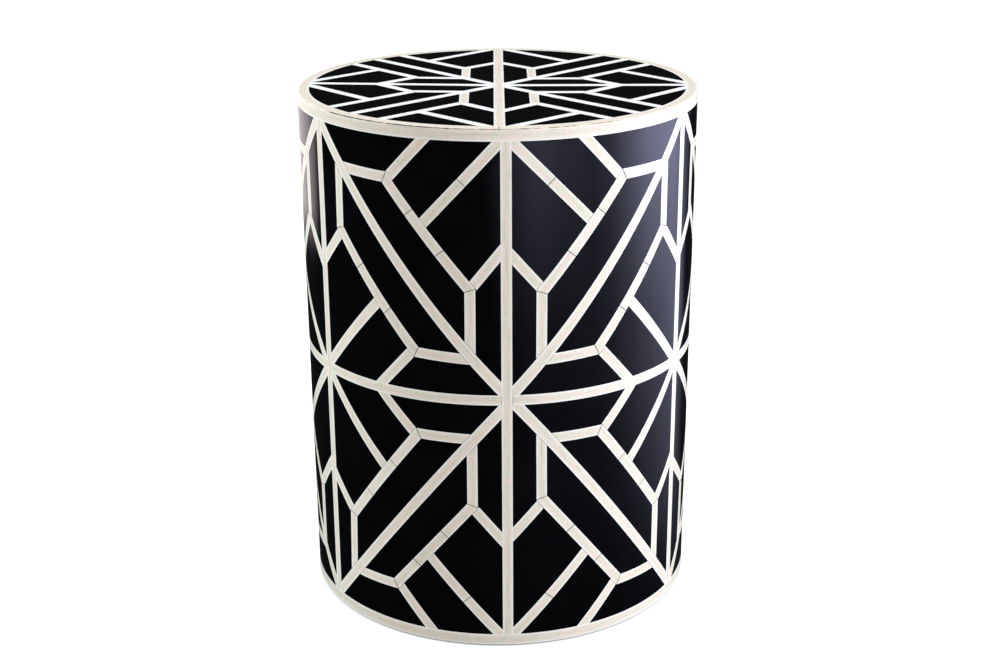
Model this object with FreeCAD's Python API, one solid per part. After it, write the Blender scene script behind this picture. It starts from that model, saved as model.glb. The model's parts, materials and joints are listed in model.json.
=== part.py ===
"""Drum side table: a round plywood carcass faced with bone strips and gloss black resin.

Millimetres. +Z is up, the floor is z = 0 and the drum's axis is x = y = 0.
The front of the table is -Y. Angles run from the front towards +X.
"""
import FreeCAD, Part
import math
import os

# Overall sizes
DRUM_DIAMETER = 380.0
TABLE_HEIGHT = 500.0
GLIDE_STAND = 1.5

# Bone and resin layer
INLAY_DEPTH = 3.0
EDGE_BAND_HEIGHT = 11.0
RIM_WIDTH = 11.0
RIM_FILLER_WIDTH = 1.1
ARRIS_RADIUS = 1.2
STILE_WIDTH = 9.8
WAIST_WIDTH = 9.8
LATTICE_WIDTH = 9.8
CROSS_WIDTH = 9.8
TOP_STRIP_WIDTH = 8.8
BAND_CORNER_INSET = 6.0
BAND_PIECES = 12
RIM_PIECES = 12
RIM_TURN = -1.7

# Wall pattern. The strips were laid by hand, so no two tiles of a bay pair are quite alike.
# Places in a tile are shares: across from the main stile to the next stile, and up from the waist
# to the band, or down from it in a lower tile. Shoulders, feet and link ends go in the order stile,
# waist, band, next stile. A foot is where a short side meets the diagonal: its share across by the
# stiles, and its share up by the waist and the band. The diagonal has its shares across at both ends.
# A link starts on a long side, so many millimetres past the shoulder beside it.
BAYS = 6
WAIST_LIFT = 1.25
TILES = {
    "right_upper": dict(
        diagonal=(-0.002, 1.005),
        shoulders=((0.158, 0.416), (0.427, 0.166), (0.561, 0.823), (0.836, 0.582)),
        feet=(0.157, 0.153, 0.823, 0.835),
        link_starts=(2.4, 2.8, 3.8, 1.4), link_ends=(0.582, 0.628, 0.331, 0.410),
        brace_feet=(0.603, 0.422), brace_ends=(0.998, -0.013)),
    "right_lower": dict(
        diagonal=(0.020, 1.020),
        shoulders=((0.160, 0.404), (0.449, 0.161), (0.576, 0.826), (0.835, 0.562)),
        feet=(0.158, 0.162, 0.831, 0.835),
        link_starts=(3.3, 2.5, 4.8, 1.9), link_ends=(0.573, 0.649, 0.351, 0.394),
        brace_feet=(0.567, 0.429), brace_ends=(1.002, -0.004)),
    "left_upper": dict(
        diagonal=(-0.021, 1.007),
        shoulders=((0.162, 0.427), (0.419, 0.171), (0.562, 0.826), (0.848, 0.594)),
        feet=(0.164, 0.159, 0.832, 0.843),
        link_starts=(0.7, 3.2, 2.9, 3.6), link_ends=(0.599, 0.631, 0.340, 0.434),
        brace_feet=(0.573, 0.431), brace_ends=(1.002, 0.007)),
    "left_lower": dict(
        diagonal=(-0.022, 1.010),
        shoulders=((0.162, 0.431), (0.417, 0.155), (0.562, 0.817), (0.831, 0.581)),
        feet=(0.161, 0.158, 0.822, 0.844),
        link_starts=(0.9, 3.2, 3.6, 1.5), link_ends=(0.596, 0.626, 0.351, 0.433),
        brace_feet=(0.564, 0.423), brace_ends=(1.014, 0.003)),
}

# Top pattern. The cross was set by eye, so its hub lies off the axis and its arms aren't square.
# Headings of the right, back, left and front arms run from +X. Places in a quarter are shares of
# the radius inside the rim, along the two arms beside it.
TOP_HUB_ASIDE = 0.9
TOP_HUB_FORWARD = 6.5
ARM_HEADINGS = (-3.0, 88.1, 173.0, 268.1)
TOP_SIDE = 0.180
TOP_SHOULDER = 0.445
TOP_LINK_START = 2.7
TOP_LINK = 0.646
TOP_BRACE_ACROSS = 0.400
TOP_BRACE_PAST_RIM = 0.060
CROSS_MIDDLE_LENGTH = 120.0

# Places of the butt joints along a strip, as shares of its length
WHOLE = (0.0, 1.0)
HALVES = (0.0, 0.5, 1.0)
THIRDS = (0.0, 0.34, 0.70, 1.0)

# Carcass
WALL_THICKNESS = 9.0
TOP_BOARD_THICKNESS = 18.0
BASE_BOARD_THICKNESS = 15.0
BASE_RECESS = 3.0
BATTEN_WIDTH = 40.0
BATTEN_THICKNESS = 18.0
HOOP_WIDTH = 45.0
HOOP_THICKNESS = 15.0
GLUE_GAP = 0.2
NOTCH_GAP = 0.3

# Screws, glides and nails
SCREW_DIAMETER = 4.0
SCREW_LENGTH = 50.0
SCREW_HEAD_DIAMETER = 8.0
SCREW_HEAD_HEIGHT = 2.5
HOLE_GAP = 0.1
GLIDES = 4
GLIDE_DIAMETER = 24.0
GLIDE_CHAMFER = 1.0
GLIDE_INSET = 16.0
NAIL_DIAMETER = 2.5
NAIL_HEAD_DIAMETER = 6.0
NAIL_HEAD_HEIGHT = 1.2
NAIL_HEAD_SUNK = 1.0
NAIL_IN_BOARD = 10.0

# Sizes that follow from those above
DRUM_RADIUS = DRUM_DIAMETER / 2.0
CARCASS_RADIUS = DRUM_RADIUS - INLAY_DEPTH
INSIDE_RADIUS = CARCASS_RADIUS - WALL_THICKNESS
DRUM_BOTTOM = GLIDE_STAND
DRUM_TOP = TABLE_HEIGHT
BOARD_TOP = DRUM_TOP - INLAY_DEPTH
WALL_TOP = BOARD_TOP - TOP_BOARD_THICKNESS
BASE_BOTTOM = DRUM_BOTTOM + BASE_RECESS
BASE_TOP = BASE_BOTTOM + BASE_BOARD_THICKNESS
WAIST_HEIGHT = (DRUM_BOTTOM + DRUM_TOP) / 2.0 + WAIST_LIFT
UPPER_RISE = DRUM_TOP - BAND_CORNER_INSET - WAIST_HEIGHT
LOWER_RISE = WAIST_HEIGHT - DRUM_BOTTOM - BAND_CORNER_INSET
BAY_ANGLE = 360.0 / BAYS
RIM_INNER_RADIUS = DRUM_RADIUS - RIM_WIDTH
BATTEN_OUTER_RADIUS = INSIDE_RADIUS - GLUE_GAP
SCREW_CIRCLE_RADIUS = BATTEN_OUTER_RADIUS - BATTEN_THICKNESS / 2.0
GLIDE_CIRCLE_RADIUS = INSIDE_RADIUS - GLIDE_INSET - GLIDE_DIAMETER / 2.0
QUARTER = 90.0
REACH = DRUM_RADIUS
UP = FreeCAD.Vector(0, 0, 1)
ACROSS = FreeCAD.Vector(1, 0, 0)
AXIS_FOOT = FreeCAD.Vector(0, 0, 0)
TOP_HUB = FreeCAD.Vector(TOP_HUB_ASIDE, -TOP_HUB_FORWARD, DRUM_TOP)


def at_height(z):
    """Point on the drum's axis."""
    return FreeCAD.Vector(0, 0, z)


def turned(shape, degrees):
    """Copy of a shape turned about the drum's axis."""
    copy = shape.copy()
    copy.rotate(AXIS_FOOT, UP, degrees)
    return copy


def disc(radius, low, high):
    return Part.makeCylinder(radius, high - low, at_height(low))


def ring(outer, inner, low, high):
    return disc(outer, low, high).cut(disc(inner, low, high))


def sector(outer, inner, low, high, start, sweep):
    """Piece of a ring between two angles."""
    wedge = Part.makeCylinder(outer, high - low, at_height(low), UP, sweep)
    return turned(wedge.cut(disc(inner, low, high)), start - QUARTER)


def upright_bar(width, low, high):
    """Box through the front of the drum wall, centred on the front line."""
    return Part.makeBox(width, REACH * 2, high - low, FreeCAD.Vector(-width / 2, -REACH * 2, low))


def axes_placement(along, across, outward, origin):
    """Placement whose own axes lie along three given directions."""
    return FreeCAD.Placement(FreeCAD.Matrix(
        along.x, across.x, outward.x, origin.x,
        along.y, across.y, outward.y, origin.y,
        along.z, across.z, outward.z, origin.z,
        0, 0, 0, 1))


def bar(start, finish, outward, width, before, after):
    """Long box that cuts one straight strip out of the inlay layer."""
    along = finish - start
    length = along.Length
    along.normalize()
    box = Part.makeBox(before + length + after, width, REACH * 2,
                       FreeCAD.Vector(-before, -width / 2, -REACH))
    box.Placement = axes_placement(along, outward.cross(along), outward, start)
    return box


def mitre_waste(point, outward, own, other):
    """Block on the far side of the mitre between two strips that leave one corner."""
    bisector = own + other
    bisector.normalize()
    side = outward.cross(bisector)
    if side.dot(other) < 0:
        side = side * -1
    block = Part.makeBox(REACH * 2, REACH, REACH * 2, FreeCAD.Vector(-REACH, 0, -REACH))
    block.Placement = axes_placement(bisector, side, bisector.cross(side), point)
    return block


def heading(place, here, there):
    """Unit direction along the surface at one corner towards another."""
    point, outward = place(here)
    step = place(there)[0] - point
    step = step - outward * step.dot(outward)
    return step.normalize()


def between(first, second, share):
    """Place part of the way from one corner to another."""
    return tuple(a + (b - a) * share for a, b in zip(first, second))


def set_back(place, shoulder, far, distance):
    """Place on a long side where the link beside its shoulder starts."""
    return between(shoulder, far, distance / (place(far)[0] - place(shoulder)[0]).Length)


def strip_cutters(place, strips, mitred, butts):
    """Cutting solids for each strip, ended by mitres at shared corners and butts on earlier strips."""
    whole = {}
    for name, (start, finish, width, joints) in strips.items():
        first, outward_first = place(start)
        last, outward_last = place(finish)
        outward = (outward_first + outward_last).normalize()
        whole[name] = (first, last, outward, width)
    cutters = {}
    for name, (start, finish, width, joints) in strips.items():
        first, last, outward, width = whole[name]
        waste = [piece for other in butts.get(name, ()) for piece in cutters[other]]
        for corner, far in ((start, finish), (finish, start)):
            if corner not in mitred:
                continue
            point, outward_here = place(corner)
            own = heading(place, corner, far)
            for other, (other_start, other_finish, _, _) in strips.items():
                if other == name or corner not in (other_start, other_finish):
                    continue
                other_far = other_finish if corner == other_start else other_start
                waste.append(mitre_waste(point, outward_here, own, heading(place, corner, other_far)))
        overrun = width * 2
        pieces = []
        for share, next_share in zip(joints, joints[1:]):
            before = overrun if share == 0.0 and start in mitred else 0.0
            after = overrun if next_share == 1.0 and finish in mitred else 0.0
            piece = bar(first + (last - first) * share, first + (last - first) * next_share,
                        outward, width, before, after)
            pieces.append(piece.cut(waste) if waste else piece)
        cutters[name] = pieces
    return cutters


def inlay(window, cutters):
    """Bone strips and black cells that together fill one window of the inlay layer."""
    tools = [piece for pieces in cutters.values() for piece in pieces]
    bone = [solid for tool in tools for solid in window.common(tool).Solids]
    cells = window.cut(tools).Solids
    return bone, cells


def wall_tile(shares, rise):
    """Bone strips and black cells of a tile just past the front stile. Rise is negative below the waist."""
    def place(corner):
        """Point on the drum's face and the outward direction there, for a place in the tile."""
        across, up = corner
        angle = math.radians(across * BAY_ANGLE)
        outward = FreeCAD.Vector(math.sin(angle), -math.cos(angle), 0)
        return outward * DRUM_RADIUS + at_height(WAIST_HEIGHT + up * rise), outward

    low_across, high_across = shares["diagonal"]
    low_end, high_end = (low_across, 0.0), (high_across, 1.0)

    def foot_across(across):
        return between(low_end, high_end, (across - low_across) / (high_across - low_across))

    def foot_up(up):
        return between(low_end, high_end, up)

    stile_shoulder, waist_shoulder, band_shoulder, next_shoulder = shares["shoulders"]
    stile_foot, waist_foot, band_foot, next_foot = shares["feet"]
    stile_start, waist_start, band_start, next_start = shares["link_starts"]
    stile_link, waist_link, band_link, next_link = shares["link_ends"]
    upper_foot, lower_foot = shares["brace_feet"]
    upper_end, lower_end = shares["brace_ends"]
    ends = {
        "diagonal": (low_end, high_end),
        "upper_long_side": (stile_shoulder, band_shoulder),
        "lower_long_side": (waist_shoulder, next_shoulder),
        "stile_side": (stile_shoulder, foot_across(stile_foot)),
        "waist_side": (waist_shoulder, foot_up(waist_foot)),
        "band_side": (band_shoulder, foot_up(band_foot)),
        "next_side": (next_shoulder, foot_across(next_foot)),
        "stile_link": (set_back(place, stile_shoulder, band_shoulder, stile_start), (0.0, stile_link)),
        "waist_link": (set_back(place, waist_shoulder, next_shoulder, waist_start), (waist_link, 0.0)),
        "band_link": (set_back(place, band_shoulder, stile_shoulder, band_start), (band_link, 1.0)),
        "next_link": (set_back(place, next_shoulder, waist_shoulder, next_start), (1.0, next_link)),
        "upper_brace": (between(stile_shoulder, band_shoulder, upper_foot), (0.0, upper_end)),
        "lower_brace": (between(waist_shoulder, next_shoulder, lower_foot), (1.0, lower_end)),
    }
    joints = {"upper_long_side": THIRDS, "lower_long_side": THIRDS, "upper_brace": HALVES}
    strips = {name: (start, finish, LATTICE_WIDTH, joints.get(name, WHOLE))
              for name, (start, finish) in ends.items()}
    butts = {
        "stile_side": ("diagonal",),
        "waist_side": ("diagonal",),
        "band_side": ("diagonal",),
        "next_side": ("diagonal",),
        "stile_link": ("upper_long_side", "stile_side"),
        "waist_link": ("lower_long_side", "waist_side"),
        "band_link": ("upper_long_side", "band_side"),
        "next_link": ("lower_long_side", "next_side"),
        "upper_brace": ("upper_long_side",),
        "lower_brace": ("lower_long_side",),
    }
    low = WAIST_HEIGHT + WAIST_WIDTH / 2 if rise > 0 else DRUM_BOTTOM + EDGE_BAND_HEIGHT
    high = DRUM_TOP - EDGE_BAND_HEIGHT if rise > 0 else WAIST_HEIGHT - WAIST_WIDTH / 2
    window = sector(DRUM_RADIUS, CARCASS_RADIUS, low, high, 0.0, BAY_ANGLE)
    stile = upright_bar(STILE_WIDTH, low, high)
    window = window.cut([stile, turned(stile, BAY_ANGLE)])
    return inlay(window, strip_cutters(place, strips, shares["shoulders"], butts))


def arm_way(index):
    """Direction of one arm of the top's cross: right, back, left or front."""
    angle = math.radians(ARM_HEADINGS[index % len(ARM_HEADINGS)])
    return FreeCAD.Vector(math.cos(angle), math.sin(angle), 0)


def arm_length(index):
    """Distance from the hub of the cross to the rim, along one arm."""
    hub = FreeCAD.Vector(TOP_HUB.x, TOP_HUB.y, 0)
    lean = hub.dot(arm_way(index))
    return math.sqrt(lean ** 2 - hub.dot(hub) + RIM_INNER_RADIUS ** 2) - lean


def cross_bars():
    """Bars that part the top into quarters: one from front to back, and an arm each side."""
    far_ends = [TOP_HUB + arm_way(index) * DRUM_DIAMETER for index in range(len(ARM_HEADINGS))]
    right_end, back_end, left_end, front_end = far_ends
    depth_bar = bar(front_end, back_end, UP, CROSS_WIDTH, 0, 0)
    arm_bars = [bar(TOP_HUB, arm_end, UP, TOP_STRIP_WIDTH, 0, 0) for arm_end in (right_end, left_end)]
    return depth_bar, arm_bars


def top_quarter(index):
    """Bone strips and black cells of the top, between one arm of the cross and the next."""
    def place(corner):
        """Point on the table's top face, for a place in the quarter."""
        across, up = (share * RIM_INNER_RADIUS for share in corner)
        return TOP_HUB + arm_way(index) * across + arm_way(index + 1) * up, FreeCAD.Vector(0, 0, 1)

    lane = TOP_SHOULDER - TOP_SIDE
    past_rim = 1.0
    strips = {"diagonal": ((0.0, 0.0), (past_rim, past_rim), TOP_STRIP_WIDTH, HALVES)}
    mitred = []
    butts = {}
    for name, swap in (("left", False), ("right", True)):
        def place_in(across, up):
            return (up, across) if swap else (across, up)
        shoulder = place_in(TOP_SIDE, TOP_SHOULDER)
        long_end = place_in(past_rim - lane, past_rim)
        brace_foot = place_in(TOP_BRACE_ACROSS, TOP_BRACE_ACROSS + lane)
        arm = index if swap else index + 1
        brace_end = place_in(0.0, arm_length(arm) / RIM_INNER_RADIUS + TOP_BRACE_PAST_RIM)
        link_start = set_back(place, shoulder, long_end, TOP_LINK_START)
        strips[name + "_long_side"] = (shoulder, long_end, TOP_STRIP_WIDTH, HALVES)
        strips[name + "_side"] = (shoulder, (TOP_SIDE, TOP_SIDE), TOP_STRIP_WIDTH, WHOLE)
        strips[name + "_link"] = (link_start, place_in(0.0, TOP_LINK), TOP_STRIP_WIDTH, WHOLE)
        strips[name + "_brace"] = (brace_foot, brace_end, TOP_STRIP_WIDTH, WHOLE)
        mitred.append(shoulder)
        butts[name + "_side"] = ("diagonal",)
        butts[name + "_link"] = (name + "_long_side", name + "_side")
        butts[name + "_brace"] = (name + "_long_side",)
    depth_bar, arm_bars = cross_bars()
    inside_rim = disc(RIM_INNER_RADIUS, BOARD_TOP, DRUM_TOP)
    middle = place((TOP_SHOULDER, TOP_SHOULDER))[0] - UP * (INLAY_DEPTH / 2)
    window = [solid for solid in inside_rim.cut([depth_bar] + arm_bars).Solids
              if solid.isInside(middle, GLUE_GAP, True)][0]
    return inlay(window, strip_cutters(place, strips, mitred, butts))


def top_cross():
    """Bone cross of the top: a front-to-back strip in three pieces, and an arm each side."""
    depth_bar, arm_bars = cross_bars()
    inside_rim = disc(RIM_INNER_RADIUS, BOARD_TOP, DRUM_TOP)
    depth_strip = inside_rim.common(depth_bar)
    arms = [solid for arm_bar in arm_bars for solid in inside_rim.common(arm_bar).cut(depth_bar).Solids]
    half_middle = CROSS_MIDDLE_LENGTH / 2
    middle_block = bar(TOP_HUB + arm_way(3) * half_middle, TOP_HUB + arm_way(1) * half_middle, UP,
                       CROSS_WIDTH * 2, 0, 0)
    middle = depth_strip.common(middle_block).Solids
    ends = depth_strip.cut(middle_block).Solids
    return middle + ends + arms


def ring_pieces(whole_ring, count, start):
    """A ring cut into equal pieces by flat butt joints."""
    sweep = 360.0 / count
    box = whole_ring.BoundBox
    pieces = []
    for index in range(count):
        wedge = Part.makeCylinder(DRUM_DIAMETER, box.ZLength, at_height(box.ZMin), UP, sweep)
        pieces.append(whole_ring.common(turned(wedge, start + index * sweep - QUARTER)))
    return [solid for piece in pieces for solid in piece.Solids]


def top_corner_ring():
    """Band round the top of the wall and rim of the top in one, with the edge between them rounded over."""
    band = ring(DRUM_RADIUS, CARCASS_RADIUS, DRUM_TOP - EDGE_BAND_HEIGHT, DRUM_TOP)
    rim = ring(CARCASS_RADIUS, RIM_INNER_RADIUS, BOARD_TOP, DRUM_TOP)
    corner = band.fuse(rim).removeSplitter()
    outer_edges = [edge for edge in corner.Edges
                   if abs(edge.BoundBox.ZMin - DRUM_TOP) < ARRIS_RADIUS / 10
                   and edge.BoundBox.XMax > DRUM_RADIUS - INLAY_DEPTH / 2]
    return corner.makeFillet(ARRIS_RADIUS, outer_edges)


def mitre_cone(outward):
    """Cone along the mitre between the rim and the band, moved outward from the corner's own mitre."""
    reach = INLAY_DEPTH * 2
    return Part.makeCone(DRUM_RADIUS - reach + outward, DRUM_RADIUS + reach + outward, reach * 2,
                         at_height(DRUM_TOP - reach))


def stile(index):
    """Bone stile number index, from the bottom band to the top band."""
    low = DRUM_BOTTOM + EDGE_BAND_HEIGHT
    high = DRUM_TOP - EDGE_BAND_HEIGHT
    front = sector(DRUM_RADIUS, CARCASS_RADIUS, low, high, -BAY_ANGLE / 2, BAY_ANGLE)
    return turned(front.common(upright_bar(STILE_WIDTH, low, high)), index * BAY_ANGLE)


def waist_piece(index):
    """Bone waist strip across one bay, butted between two stiles."""
    low = WAIST_HEIGHT - WAIST_WIDTH / 2
    high = WAIST_HEIGHT + WAIST_WIDTH / 2
    strip = sector(DRUM_RADIUS, CARCASS_RADIUS, low, high, 0.0, BAY_ANGLE)
    post = upright_bar(STILE_WIDTH, low, high)
    return turned(strip.cut([post, turned(post, BAY_ANGLE)]), index * BAY_ANGLE)


def screw(tip_height, head_height):
    """Countersunk screw on the drum's axis: head at one height, tip at the other."""
    down = FreeCAD.Vector(0, 0, math.copysign(1, tip_height - head_height))
    shank = Part.makeCylinder(SCREW_DIAMETER / 2, SCREW_LENGTH, at_height(head_height), down)
    head = Part.makeCone(SCREW_HEAD_DIAMETER / 2, SCREW_DIAMETER / 2, SCREW_HEAD_HEIGHT,
                         at_height(head_height), down)
    return shank.fuse(head).removeSplitter()


def screw_hole(tip_height, head_height):
    """Countersunk hole that clears a screw all round and at its tip."""
    down = FreeCAD.Vector(0, 0, math.copysign(1, tip_height - head_height))
    shank = Part.makeCylinder(SCREW_DIAMETER / 2 + HOLE_GAP, SCREW_LENGTH + HOLE_GAP,
                              at_height(head_height), down)
    head = Part.makeCone(SCREW_HEAD_DIAMETER / 2 + HOLE_GAP, SCREW_DIAMETER / 2 + HOLE_GAP,
                         SCREW_HEAD_HEIGHT, at_height(head_height), down)
    return shank.fuse(head)


def on_screw_circle(shape):
    """Copies of a shape from the axis to the front of each batten."""
    copies = []
    for index in range(BAYS):
        copy = shape.copy()
        copy.translate(FreeCAD.Vector(0, -SCREW_CIRCLE_RADIUS, 0))
        copies.append(turned(copy, index * BAY_ANGLE))
    return copies


def batten(index, gap):
    """Upright batten behind one joint of the wall, grown by a gap on its sides and back."""
    low = BASE_TOP
    high = WALL_TOP
    inner = BATTEN_OUTER_RADIUS - BATTEN_THICKNESS - gap
    front = sector(BATTEN_OUTER_RADIUS, inner, low, high, -BAY_ANGLE / 2, BAY_ANGLE)
    return turned(front.common(upright_bar(BATTEN_WIDTH + gap * 2, low, high)), index * BAY_ANGLE)


def waist_hoop():
    """Plywood hoop inside the wall at the waist, notched for the battens."""
    low = WAIST_HEIGHT - HOOP_THICKNESS / 2
    high = WAIST_HEIGHT + HOOP_THICKNESS / 2
    hoop = ring(BATTEN_OUTER_RADIUS, BATTEN_OUTER_RADIUS - HOOP_WIDTH, low, high)
    return hoop.cut([batten(index, NOTCH_GAP) for index in range(BAYS)])


def glide_angle(index):
    """Glides stand half-way between the axes of the frame."""
    return (index + 0.5) * 360.0 / GLIDES


def to_glide(shape, index):
    """Copy of a shape moved from the axis to the place of one glide."""
    copy = shape.copy()
    copy.translate(FreeCAD.Vector(0, -GLIDE_CIRCLE_RADIUS, 0))
    return turned(copy, glide_angle(index))


def nail(gap):
    """Glide nail on the axis, grown by a gap all round."""
    head_low = NAIL_HEAD_SUNK
    head = disc(NAIL_HEAD_DIAMETER / 2 + gap, head_low, head_low + NAIL_HEAD_HEIGHT)
    shank = disc(NAIL_DIAMETER / 2 + gap, head_low, BASE_BOTTOM + NAIL_IN_BOARD + gap)
    return head.fuse(shank).removeSplitter()


def glide():
    """Nylon glide on the axis, with a counterbore for its nail."""
    slope = Part.makeCone(GLIDE_DIAMETER / 2 - GLIDE_CHAMFER, GLIDE_DIAMETER / 2, GLIDE_CHAMFER)
    body = slope.fuse(disc(GLIDE_DIAMETER / 2, GLIDE_CHAMFER, BASE_BOTTOM)).removeSplitter()
    counterbore = disc(NAIL_HEAD_DIAMETER / 2 + HOLE_GAP, 0.0, NAIL_HEAD_SUNK + NAIL_HEAD_HEIGHT)
    return body.cut([nail(HOLE_GAP), counterbore])


def save(name, solids):
    """Write one named piece, or a group of like pieces, to its own file."""
    shape = solids[0] if len(solids) == 1 else Part.makeCompound(solids)
    shape.exportStep("parts/" + name + ".step")
    print(name, len(solids), "solids", round(sum(solid.Volume for solid in solids) / 1000, 2), "cm3")


os.makedirs("parts", exist_ok=True)

# Carcass
top_screw_hole = screw_hole(BOARD_TOP - SCREW_LENGTH, BOARD_TOP)
base_screw_hole = screw_hole(BASE_BOTTOM + SCREW_LENGTH, BASE_BOTTOM)
top_holes = on_screw_circle(top_screw_hole)
base_holes = on_screw_circle(base_screw_hole)
nail_holes = [to_glide(nail(HOLE_GAP), index) for index in range(GLIDES)]
save("top_board", disc(CARCASS_RADIUS, WALL_TOP, BOARD_TOP).cut(top_holes).Solids)
base_disc = disc(INSIDE_RADIUS - GLUE_GAP, BASE_BOTTOM, BASE_TOP)
save("base_board", base_disc.cut(base_holes + nail_holes).Solids)
save("waist_hoop", waist_hoop().Solids)
for number in range(BAYS):
    save(f"batten_{number + 1}", batten(number, 0.0).cut([top_holes[number], base_holes[number]]).Solids)
    save(f"wall_panel_{number + 1}",
         [sector(CARCASS_RADIUS, INSIDE_RADIUS, DRUM_BOTTOM, WALL_TOP, number * BAY_ANGLE, BAY_ANGLE)])
save("top_screws", on_screw_circle(screw(BOARD_TOP - SCREW_LENGTH, BOARD_TOP)))
save("base_screws", on_screw_circle(screw(BASE_BOTTOM + SCREW_LENGTH, BASE_BOTTOM)))

# Glides
for number in range(GLIDES):
    save(f"glide_{number + 1}", [to_glide(glide(), number)])
save("glide_nails", [to_glide(nail(0.0), number) for number in range(GLIDES)])

# Bone frame of the wall
for number in range(BAYS):
    save(f"stile_{number + 1}", stile(number).Solids)
save("waist_band", [waist_piece(number) for number in range(BAYS)])
half_joint = 360.0 / BAND_PIECES / 2
bottom_band_ring = ring(DRUM_RADIUS, CARCASS_RADIUS, DRUM_BOTTOM, DRUM_BOTTOM + EDGE_BAND_HEIGHT)
save("bottom_edge_band", ring_pieces(bottom_band_ring, BAND_PIECES, half_joint))

# Corner of the top: the rim and the band meet in a mitre, with a line of filler in it
corner_ring = top_corner_ring()
half_filler = RIM_FILLER_WIDTH / math.sqrt(2)
inside_filler = mitre_cone(-half_filler)
outside_filler = mitre_cone(half_filler)
save("top_edge_band", ring_pieces(corner_ring.cut(outside_filler), BAND_PIECES, half_joint))
save("top_rim_ring", ring_pieces(corner_ring.common(inside_filler), RIM_PIECES, RIM_TURN))
save("rim_filler_line", corner_ring.common(outside_filler).cut(inside_filler).Solids)

# Bone lattice and black cells of the wall: a pair of tiles to a bay, mirrored in every other bay
tiles = {name: wall_tile(shares, UPPER_RISE if name.endswith("upper") else -LOWER_RISE)
         for name, shares in TILES.items()}
for number in range(BAYS):
    mirrored = number % 2 == 1
    side = "left" if mirrored else "right"
    for kind, name in enumerate(("wall_lattice", "wall_cells")):
        placed = []
        for solid in tiles[side + "_upper"][kind] + tiles[side + "_lower"][kind]:
            if mirrored:
                placed.append(turned(solid.mirror(AXIS_FOOT, ACROSS), (number + 1) * BAY_ANGLE))
            else:
                placed.append(turned(solid, number * BAY_ANGLE))
        save(f"{name}_{number + 1}", placed)

# Bone lattice and black cells of the top, quarter by quarter
save("top_cross", top_cross())
for number in range(len(ARM_HEADINGS)):
    quarter_bone, quarter_cells = top_quarter(number)
    save(f"top_lattice_{number + 1}", quarter_bone)
    save(f"top_cells_{number + 1}", quarter_cells)
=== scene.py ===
# %% [markdown]
# # A drum side table in bone and black
# The table is a straight round drum. Thin strips of polished bone are laid in a geometric lattice
# on its wall and top, and the cells between them are filled with black resin that is sanded flush
# and polished. This lesson takes the measured construction as a fixed frame, lays the inlay piece
# by piece over it, and then gives every surface its finish.

# %% Load the frame
import functools
import json
import math
import random

import bmesh
import bpy
from mathutils import Matrix, Vector


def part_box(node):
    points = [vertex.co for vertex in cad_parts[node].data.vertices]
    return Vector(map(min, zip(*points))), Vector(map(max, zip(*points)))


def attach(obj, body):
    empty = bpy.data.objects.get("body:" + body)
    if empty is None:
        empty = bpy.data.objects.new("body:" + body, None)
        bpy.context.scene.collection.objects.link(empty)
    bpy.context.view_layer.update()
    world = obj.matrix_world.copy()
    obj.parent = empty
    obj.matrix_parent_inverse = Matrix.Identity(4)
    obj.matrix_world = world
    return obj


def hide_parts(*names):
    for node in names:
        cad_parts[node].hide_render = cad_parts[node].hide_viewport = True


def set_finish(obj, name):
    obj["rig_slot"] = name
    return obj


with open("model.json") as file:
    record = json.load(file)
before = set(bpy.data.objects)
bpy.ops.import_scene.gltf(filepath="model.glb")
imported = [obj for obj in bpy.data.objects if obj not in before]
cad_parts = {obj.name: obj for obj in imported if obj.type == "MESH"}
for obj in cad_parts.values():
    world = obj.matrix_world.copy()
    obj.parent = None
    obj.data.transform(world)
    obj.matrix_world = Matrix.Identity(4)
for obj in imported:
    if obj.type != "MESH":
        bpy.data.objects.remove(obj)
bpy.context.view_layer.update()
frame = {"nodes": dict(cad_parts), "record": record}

# %% [markdown]
# ## Sizes
# The drum's radius, its heights and the width of the strips are read from the frame, so the inlay
# can't drift away from the carcass under it. The rest are the same values that the construction
# uses, in metres. A glued joint between two bone pieces is a dark hairline, and each bone edge is
# eased by hand.

# %% Sizes of the drum and the strips
MM = 0.001
band_low, band_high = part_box("top_edge_band")
foot_low, foot_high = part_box("bottom_edge_band")
rim_low, rim_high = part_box("top_rim_ring")
waist_low, waist_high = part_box("waist_band")

DRUM_RADIUS = band_high.x
INLAY_DEPTH = rim_high.z - rim_low.z
TOP_HEIGHT = rim_high.z
WAIST_HEIGHT = (waist_low.z + waist_high.z) / 2
STRIP_WIDTH = waist_high.z - waist_low.z
RIM_WIDTH = 11 * MM
RIM_INNER_RADIUS = DRUM_RADIUS - RIM_WIDTH
BAND_CORNER_INSET = 6 * MM
UPPER_RISE = TOP_HEIGHT - BAND_CORNER_INSET - WAIST_HEIGHT
LOWER_RISE = WAIST_HEIGHT - foot_low.z - BAND_CORNER_INSET
BAYS = 6
BAY_ANGLE = math.tau / BAYS
JOINT_GAP = 0.6 * MM
EASED_EDGE = 0.12 * MM

print(f"drum {DRUM_RADIUS * 2 / MM:.0f} mm across and {TOP_HEIGHT / MM:.0f} mm tall")
print(f"strips {STRIP_WIDTH / MM:.1f} mm wide, {INLAY_DEPTH / MM:.1f} mm deep")

# %% [markdown]
# ## A sheet to cut from
# A marquetry worker saws veneers from a sheet, and the same idea works here. A vertical edge is
# spun about the drum's axis into a curved sheet, one column of faces for each half degree so that
# gloss reflections stay smooth. Every strip and cell is then a copy of the sheet, sawn along flat
# planes. Planes are safer than drawing outlines on a curve, because neighbours that share a plane
# always meet.

# %% Sheets and the saw
COLUMN_ANGLE = math.radians(0.5)
SAW_TOLERANCE = 1e-7
UP = Vector((0, 0, 1))


def wall_out(angle):
    """Outward direction on the wall, at an angle from the front towards +X."""
    return Vector((math.sin(angle), -math.cos(angle), 0))


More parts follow.
